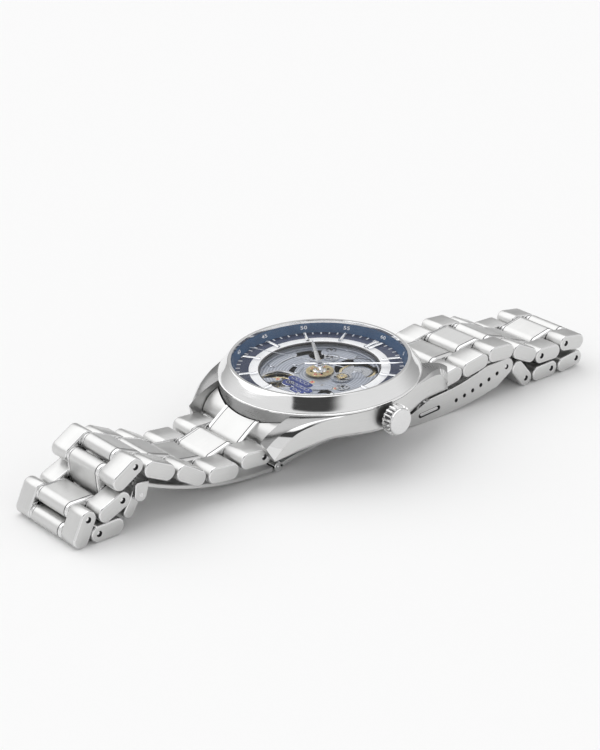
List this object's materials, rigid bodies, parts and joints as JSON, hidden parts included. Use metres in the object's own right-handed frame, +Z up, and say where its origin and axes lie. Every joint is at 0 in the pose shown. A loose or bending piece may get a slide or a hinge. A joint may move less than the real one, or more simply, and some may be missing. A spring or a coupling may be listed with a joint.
{
  "type": "skeleton wristwatch",
  "caption": "Round automatic wristwatch with an open-worked dial, fluted crown and steel link bracelet, lying dial up on its folded bracelet and open clasp.",
  "frame": {"origin": "on the table under the middle of the object's box", "axes": "+X towards 3 o'clock and the crown, +Y towards 12 o'clock, +Z up out of the dial"},
  "size_m": [0.045, 0.1352, 0.0184],
  "materials": {
    "brushed_steel": "fine brushed",
    "polished_steel": "polished",
    "sapphire_glass": "clear",
    "blue_ring": "satin",
    "dial_blue": "satin",
    "rhodium": "striped",
    "gilt_brass": "gilt",
    "hand_steel": "polished",
    "emblem_blue": "gloss"
  },
  "bodies": {
    "head": {"case_middle": "brushed_steel", "bezel": "polished_steel", "crystal": "sapphire_glass", "caseback": "polished_steel", "rehaut_ring": "blue_ring", "dial_ring": "dial_blue", "mainplate": "rhodium", "train_bridge": "rhodium", "emblem_plate": "emblem_blue", "end_link_6": "brushed_steel", "end_link_12": "brushed_steel"},
    "second_hand": {"second_hand": "hand_steel"},
    "minute_hand": {"minute_hand": "hand_steel"},
    "hour_hand": {"hour_hand": "hand_steel"},
    "minute_wheel": {"minute_wheel": "gilt_brass"},
    "mainspring_barrel": {"mainspring_barrel": "gilt_brass"},
    "balance_wheel": {"balance_wheel": "gilt_brass"},
    "rotor": {"rotor": "rhodium"},
    "winding_stem": {"winding_stem": "brushed_steel"},
    "crown": {"crown": "polished_steel"},
    "six_outer_1": {"six_outer_1": "brushed_steel"},
    "six_centre_1": {"six_centre_1": "brushed_steel"},
    "six_outer_2": {"six_outer_2": "brushed_steel"},
    "six_centre_2": {"six_centre_2": "brushed_steel"},
    "six_outer_3": {"six_outer_3": "brushed_steel"},
    "six_centre_3": {"six_centre_3": "brushed_steel"},
    "six_outer_4": {"six_outer_4": "brushed_steel"},
    "six_centre_4": {"six_centre_4": "brushed_steel"},
    "six_outer_5": {"six_outer_5": "brushed_steel"},
    "six_centre_5": {"six_centre_5": "brushed_steel"},
    "six_outer_6": {"six_outer_6": "brushed_steel"},
    "six_centre_6": {"six_centre_6": "brushed_steel"},
    "six_outer_7": {"six_outer_7": "brushed_steel"},
    "six_centre_7": {"six_centre_7": "brushed_steel"},
    "six_outer_8": {"six_outer_8": "brushed_steel"},
    "twelve_outer_1": {"twelve_outer_1": "brushed_steel"},
    "twelve_centre_1": {"twelve_centre_1": "brushed_steel"},
    "twelve_outer_2": {"twelve_outer_2": "brushed_steel"},
    "twelve_centre_2": {"twelve_centre_2": "brushed_steel"},
    "twelve_outer_3": {"twelve_outer_3": "brushed_steel"},
    "twelve_centre_3": {"twelve_centre_3": "brushed_steel"},
    "twelve_outer_4": {"twelve_outer_4": "brushed_steel"},
    "twelve_centre_4": {"twelve_centre_4": "brushed_steel"},
    "twelve_outer_5": {"twelve_outer_5": "brushed_steel"},
    "twelve_centre_5": {"twelve_centre_5": "brushed_steel"},
    "twelve_outer_6": {"twelve_outer_6": "brushed_steel"},
    "twelve_centre_6": {"twelve_centre_6": "brushed_steel"},
    "twelve_outer_7": {"twelve_outer_7": "brushed_steel"},
    "twelve_centre_7": {"twelve_centre_7": "brushed_steel"},
    "twelve_outer_8": {"twelve_outer_8": "brushed_steel"},
    "twelve_centre_8": {"twelve_centre_8": "brushed_steel"},
    "twelve_outer_9": {"twelve_outer_9": "brushed_steel"},
    "twelve_centre_9": {"twelve_centre_9": "brushed_steel"},
    "clasp_cover": {"clasp_cover": "brushed_steel"},
    "pusher_3": {"pusher_3": "polished_steel"},
    "pusher_9": {"pusher_9": "polished_steel"},
    "blade_outer": {"blade_outer": "brushed_steel"},
    "blade_inner": {"blade_inner": "brushed_steel"},
    "clasp_end_outer": {"clasp_end_outer": "brushed_steel"},
    "clasp_end_centre": {"clasp_end_centre": "brushed_steel"}
  },
  "joints": [
    {"name": "second_hand_turn", "type": "hinge", "parent": "head", "child": "second_hand", "pos_m": [-0.00175, -0.00069, 0.01652], "axis": [0, 0.0506, -0.9987], "continuous": true},
    {"name": "minute_hand_turn", "type": "hinge", "parent": "head", "child": "minute_hand", "pos_m": [-0.00175, -0.00069, 0.01652], "axis": [0, 0.0506, -0.9987], "continuous": true},
    {"name": "hour_hand_turn", "type": "hinge", "parent": "head", "child": "hour_hand", "pos_m": [-0.00175, -0.00069, 0.01652], "axis": [0, 0.0506, -0.9987], "continuous": true},
    {"name": "minute_wheel_turn", "type": "hinge", "parent": "head", "child": "minute_wheel", "pos_m": [0.00315, 0.00091, 0.01661], "axis": [0, 0.0506, -0.9987], "continuous": true},
    {"name": "barrel_turn", "type": "hinge", "parent": "head", "child": "mainspring_barrel", "pos_m": [0.00185, 0.0063, 0.01688], "axis": [0, 0.0506, -0.9987], "continuous": true},
    {"name": "balance_swing", "type": "hinge", "parent": "head", "child": "balance_wheel", "pos_m": [-0.00535, -0.00868, 0.01612], "axis": [0, -0.0506, 0.9987], "range_deg": [-140, 140]},
    {"name": "rotor_turn", "type": "hinge", "parent": "head", "child": "rotor", "pos_m": [-0.00175, -0.00069, 0.01652], "axis": [0, -0.0506, 0.9987], "continuous": true},
    {"name": "crown_pull", "type": "slide", "parent": "head", "child": "winding_stem", "axis": [1, 0, 0], "range_m": [0, 0.0012]},
    {"name": "crown_turn", "type": "hinge", "parent": "winding_stem", "child": "crown", "pos_m": [-0.00175, -0.00044, 0.01153], "axis": [1, 0, 0], "continuous": true},
    {"name": "six_outer_1_pin", "type": "hinge", "parent": "head", "child": "six_outer_1", "pos_m": [-0.00175, -0.024, 0.00623], "axis": [-1, 0, 0], "range_deg": [0, 15]},
    {"name": "six_centre_1_pin", "type": "hinge", "parent": "six_outer_1", "child": "six_centre_1", "pos_m": [-0.00175, -0.02794, 0.00647], "axis": [-1, 0, 0], "range_deg": [0, 39.5]},
    {"name": "six_outer_2_pin", "type": "hinge", "parent": "six_centre_1", "child": "six_outer_2", "pos_m": [-0.00175, -0.03174, 0.00538], "axis": [1, 0, 0], "range_deg": [-15, 0]},
    {"name": "six_centre_2_pin", "type": "hinge", "parent": "six_outer_2", "child": "six_centre_2", "pos_m": [-0.00175, -0.03567, 0.0058], "axis": [-1, 0, 0], "range_deg": [0, 17.5]},
    {"name": "six_outer_3_pin", "type": "hinge", "parent": "six_centre_2", "child": "six_outer_3", "pos_m": [-0.00175, -0.03957, 0.00638], "axis": [1, 0, 0], "range_deg": [-15, 0]},
    {"name": "six_centre_3_pin", "type": "hinge", "parent": "six_outer_3", "child": "six_centre_3", "pos_m": [-0.00175, -0.04294, 0.00844], "axis": [-1, 0, 0], "range_deg": [0, 32]},
    {"name": "six_outer_4_pin", "type": "hinge", "parent": "six_centre_3", "child": "six_outer_4", "pos_m": [-0.00175, -0.04666, 0.00976], "axis": [1, 0, 0], "range_deg": [-15, 0]},
    {"name": "six_centre_4_pin", "type": "hinge", "parent": "six_outer_4", "child": "six_centre_4", "pos_m": [-0.00175, -0.05023, 0.01146], "axis": [-1, 0, 0], "range_deg": [0, 22.5]},
    {"name": "six_outer_5_pin", "type": "hinge", "parent": "six_centre_4", "child": "six_outer_5", "pos_m": [-0.00175, -0.05387, 0.01301], "axis": [-1, 0, 0], "range_deg": [0, 75]},
    {"name": "six_centre_5_pin", "type": "hinge", "parent": "six_outer_5", "child": "six_centre_5", "pos_m": [-0.00175, -0.05722, 0.01091], "axis": [1, 0, 0], "range_deg": [-84.5, 0]},
    {"name": "six_outer_6_pin", "type": "hinge", "parent": "six_centre_5", "child": "six_outer_6", "pos_m": [-0.00175, -0.05677, 0.00699], "axis": [1, 0, 0], "range_deg": [-15, 0]},
    {"name": "six_centre_6_pin", "type": "hinge", "parent": "six_outer_6", "child": "six_centre_6", "pos_m": [-0.00175, -0.06038, 0.00538], "axis": [1, 0, 0], "range_deg": [-15, 0]},
    {"name": "six_outer_7_pin", "type": "hinge", "parent": "six_centre_6", "child": "six_outer_7", "pos_m": [-0.00175, -0.06433, 0.00535], "axis": [1, 0, 0], "range_deg": [-85, 0]},
    {"name": "six_centre_7_pin", "type": "hinge", "parent": "six_outer_7", "child": "six_centre_7", "pos_m": [-0.00175, -0.06596, 0.00175], "axis": [1, 0, 0], "range_deg": [-100, 0]},
    {"name": "six_outer_8_pin", "type": "hinge", "parent": "six_centre_7", "child": "six_outer_8", "pos_m": [-0.00175, -0.06202, 0.00175], "axis": [1, 0, 0], "range_deg": [-22, 0]},
    {"name": "twelve_outer_1_pin", "type": "hinge", "parent": "head", "child": "twelve_outer_1", "pos_m": [-0.00175, 0.02354, 0.00864], "axis": [-1, 0, 0], "range_deg": [-15, 0]},
    {"name": "twelve_centre_1_pin", "type": "hinge", "parent": "twelve_outer_1", "child": "twelve_centre_1", "pos_m": [-0.00175, 0.02743, 0.00932], "axis": [-1, 0, 0], "range_deg": [-29.5, 0]},
    {"name": "twelve_outer_2_pin", "type": "hinge", "parent": "twelve_centre_1", "child": "twelve_outer_2", "pos_m": [-0.00175, 0.03138, 0.00936], "axis": [1, 0, 0], "range_deg": [0, 15]},
    {"name": "twelve_centre_2_pin", "type": "hinge", "parent": "twelve_outer_2", "child": "twelve_centre_2", "pos_m": [-0.00175, 0.03527, 0.01005], "axis": [-1, 0, 0], "range_deg": [-23.5, 0]},
    {"name": "twelve_outer_3_pin", "type": "hinge", "parent": "twelve_centre_2", "child": "twelve_outer_3", "pos_m": [-0.00175, 0.0392, 0.01049], "axis": [-1, 0, 0], "range_deg": [-31, 0]},
    {"name": "twelve_centre_3_pin", "type": "hinge", "parent": "twelve_outer_3", "child": "twelve_centre_3", "pos_m": [-0.00175, 0.04313, 0.01018], "axis": [-1, 0, 0], "range_deg": [-33, 0]},
    {"name": "twelve_outer_4_pin", "type": "hinge", "parent": "twelve_centre_3", "child": "twelve_outer_4", "pos_m": [-0.00175, 0.0469, 0.00899], "axis": [-1, 0, 0], "range_deg": [-28, 0]},
    {"name": "twelve_centre_4_pin", "type": "hinge", "parent": "twelve_outer_4", "child": "twelve_centre_4", "pos_m": [-0.00175, 0.05047, 0.0073], "axis": [-1, 0, 0], "range_deg": [-15, 0]},
    {"name": "twelve_outer_5_pin", "type": "hinge", "parent": "twelve_centre_4", "child": "twelve_outer_5", "pos_m": [-0.00175, 0.0542, 0.00601], "axis": [1, 0, 0], "range_deg": [0, 15]},
    {"name": "twelve_centre_5_pin", "type": "hinge", "parent": "twelve_outer_5", "child": "twelve_centre_5", "pos_m": [-0.00175, 0.05815, 0.0059], "axis": [-1, 0, 0], "range_deg": [-15, 0]},
    {"name": "twelve_outer_6_pin", "type": "hinge", "parent": "twelve_centre_5", "child": "twelve_outer_6", "pos_m": [-0.00175, 0.062, 0.00676], "axis": [-1, 0, 0], "range_deg": [-41, 0]},
    {"name": "twelve_centre_6_pin", "type": "hinge", "parent": "twelve_outer_6", "child": "twelve_centre_6", "pos_m": [-0.00175, 0.06591, 0.00618], "axis": [1, 0, 0], "range_deg": [0, 100]},
    {"name": "twelve_outer_7_pin", "type": "hinge", "parent": "twelve_centre_6", "child": "twelve_outer_7", "pos_m": [-0.00175, 0.06588, 0.00223], "axis": [1, 0, 0], "range_deg": [0, 100]},
    {"name": "twelve_centre_7_pin", "type": "hinge", "parent": "twelve_outer_7", "child": "twelve_centre_7", "pos_m": [-0.00175, 0.06195, 0.00178], "axis": [-1, 0, 0], "range_deg": [-28.5, 0]},
    {"name": "twelve_outer_8_pin", "type": "hinge", "parent": "twelve_centre_7", "child": "twelve_outer_8", "pos_m": [-0.00175, 0.05801, 0.00192], "axis": [-1, 0, 0], "range_deg": [-16, 0]},
    {"name": "twelve_centre_8_pin", "type": "hinge", "parent": "twelve_outer_8", "child": "twelve_centre_8", "pos_m": [-0.00175, 0.05406, 0.00178], "axis": [1, 0, 0], "range_deg": [0, 22]},
    {"name": "twelve_outer_9_pin", "type": "hinge", "parent": "twelve_centre_8", "child": "twelve_outer_9", "pos_m": [-0.00175, 0.05011, 0.00178], "axis": [-1, 0, 0], "range_deg": [-69, 0]},
    {"name": "twelve_centre_9_pin", "type": "hinge", "parent": "twelve_outer_9", "child": "twelve_centre_9", "pos_m": [-0.00175, 0.04752, 0.00476], "axis": [1, 0, 0], "range_deg": [0, 15]},
    {"name": "clasp_cover_pin", "type": "hinge", "parent": "twelve_centre_9", "child": "clasp_cover", "pos_m": [-0.00175, 0.04384, 0.00621], "axis": [1, 0, 0], "range_deg": [0, 45]},
    {"name": "pusher_3_press", "type": "slide", "parent": "clasp_cover", "child": "pusher_3", "axis": [-1, 0, 0], "range_m": [0, 0.0007], "stiffness_N_per_m": 300},
    {"name": "pusher_9_press", "type": "slide", "parent": "clasp_cover", "child": "pusher_9", "axis": [1, 0, 0], "range_m": [0, 0.0007], "stiffness_N_per_m": 300},
    {"name": "clasp_hinge", "type": "hinge", "parent": "clasp_cover", "child": "blade_outer", "pos_m": [-0.00175, 0.01331, 0.00174], "axis": [1, 0, 0], "range_deg": [0, 20]},
    {"name": "middle_hinge", "type": "hinge", "parent": "blade_outer", "child": "blade_inner", "pos_m": [-0.00175, -0.01799, 0.00119], "axis": [-1, 0, 0], "range_deg": [-150, 0]},
    {"name": "clasp_end_outer_pin", "type": "hinge", "parent": "blade_inner", "child": "clasp_end_outer", "pos_m": [-0.00175, -0.05242, 0.00668], "axis": [-1, 0, 0], "range_deg": [-60, 0]},
    {"name": "clasp_end_centre_pin", "type": "hinge", "parent": "clasp_end_outer", "child": "clasp_end_centre", "pos_m": [-0.00175, -0.05436, 0.00325], "axis": [1, 0, 0], "range_deg": [0, 75]}
  ],
  "couplings": [
    {"joint": "second_hand_turn", "follows": "minute_hand_turn", "ratio": 60},
    {"joint": "hour_hand_turn", "follows": "minute_hand_turn", "ratio": 0.083333},
    {"joint": "minute_wheel_turn", "follows": "minute_hand_turn", "ratio": -0.33333},
    {"joint": "barrel_turn", "follows": "minute_hand_turn", "ratio": 0.14286}
  ]
}
